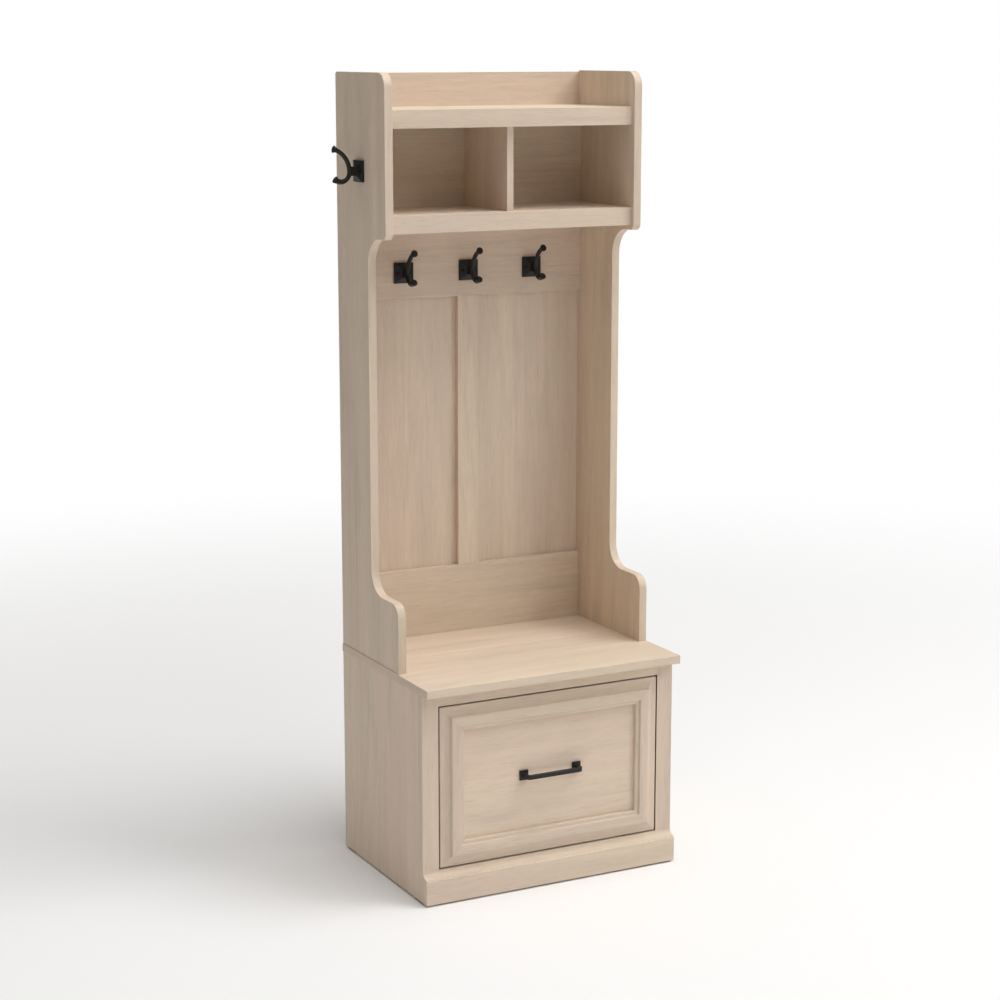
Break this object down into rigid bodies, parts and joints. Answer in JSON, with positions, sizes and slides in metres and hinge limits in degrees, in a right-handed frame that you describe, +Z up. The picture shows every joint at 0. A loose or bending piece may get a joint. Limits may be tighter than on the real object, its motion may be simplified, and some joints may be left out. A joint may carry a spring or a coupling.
{
  "type": "hall tree",
  "caption": "Hall tree for an entryway: a storage bench with a deep sliding drawer under a tall hutch with shaped sides, cubbies, a top shelf and double coat hooks.",
  "frame": {"origin": "on the floor, at the centre of the footprint", "axes": "+Z up; the drawer and the open side face -Y; +X is to the right for someone who looks along +Y at the front"},
  "size_m": [0.733, 0.4346, 1.725],
  "materials": {
    "washed_oak": "matt grey-brown oak decor with a fine brushed grain",
    "plain_board": "plain matt board for inner and rear pieces",
    "black_metal": "satin black powder coat",
    "zinc_steel": "zinc-plated sheet steel",
    "black_plastic": "matt black"
  },
  "bodies": {
    "carcass": {"cabinet_left_side": "washed_oak", "cabinet_right_side": "washed_oak", "left_stile": "washed_oak", "right_stile": "washed_oak", "top_rail": "washed_oak", "plinth_board": "washed_oak", "bench_top": "washed_oak", "hutch_left_side": "washed_oak", "hutch_right_side": "washed_oak", "top_shelf": "washed_oak", "top_shelf_rail": "washed_oak", "lower_shelf": "washed_oak", "lower_shelf_rail": "washed_oak", "cubby_divider": "washed_oak", "cubby_back": "washed_oak", "hook_rail": "washed_oak", "lower_back_rail": "washed_oak", "centre_stile": "washed_oak", "cabinet_bottom": "plain_board", "cabinet_back": "plain_board", "left_slide_spacer": "plain_board", "right_slide_spacer": "plain_board", "hutch_back_panel": "washed_oak", "front_left_glide": "black_plastic", "front_right_glide": "black_plastic", "rear_left_glide": "black_plastic", "rear_right_glide": "black_plastic", "left_cabinet_slide": "zinc_steel", "right_cabinet_slide": "zinc_steel", "left_hook": "black_metal", "centre_hook": "black_metal", "right_hook": "black_metal", "left_side_hook": "black_metal", "right_side_hook": "black_metal", "left_hook_screw_1": "black_metal", "left_hook_screw_2": "black_metal", "centre_hook_screw_1": "black_metal", "centre_hook_screw_2": "black_metal", "right_hook_screw_1": "black_metal", "right_hook_screw_2": "black_metal", "left_side_hook_screw_1": "black_metal", "left_side_hook_screw_2": "black_metal", "right_side_hook_screw_1": "black_metal", "right_side_hook_screw_2": "black_metal"},
    "drawer": {"drawer_front_left_stile": "washed_oak", "drawer_front_right_stile": "washed_oak", "drawer_front_top_rail": "washed_oak", "drawer_front_bottom_rail": "washed_oak", "drawer_front_panel": "washed_oak", "drawer_left_side": "plain_board", "drawer_right_side": "plain_board", "drawer_back": "plain_board", "drawer_bottom": "plain_board", "drawer_pull": "black_metal", "pull_left_screw": "zinc_steel", "pull_right_screw": "zinc_steel", "left_drawer_slide": "zinc_steel", "right_drawer_slide": "zinc_steel"},
    "left_slide_middle": {"left_middle_slide": "zinc_steel"},
    "right_slide_middle": {"right_middle_slide": "zinc_steel"}
  },
  "joints": [
    {"name": "drawer_travel", "type": "slide", "parent": "carcass", "child": "drawer", "axis": [0, -1, 0], "range_m": [0, 0.34]},
    {"name": "left_middle_travel", "type": "slide", "parent": "carcass", "child": "left_slide_middle", "axis": [0, -1, 0], "range_m": [0, 0.17]},
    {"name": "right_middle_travel", "type": "slide", "parent": "carcass", "child": "right_slide_middle", "axis": [0, -1, 0], "range_m": [0, 0.17]}
  ],
  "couplings": [
    {"joint": "left_middle_travel", "follows": "drawer_travel", "ratio": 0.5},
    {"joint": "right_middle_travel", "follows": "drawer_travel", "ratio": 0.5}
  ]
}
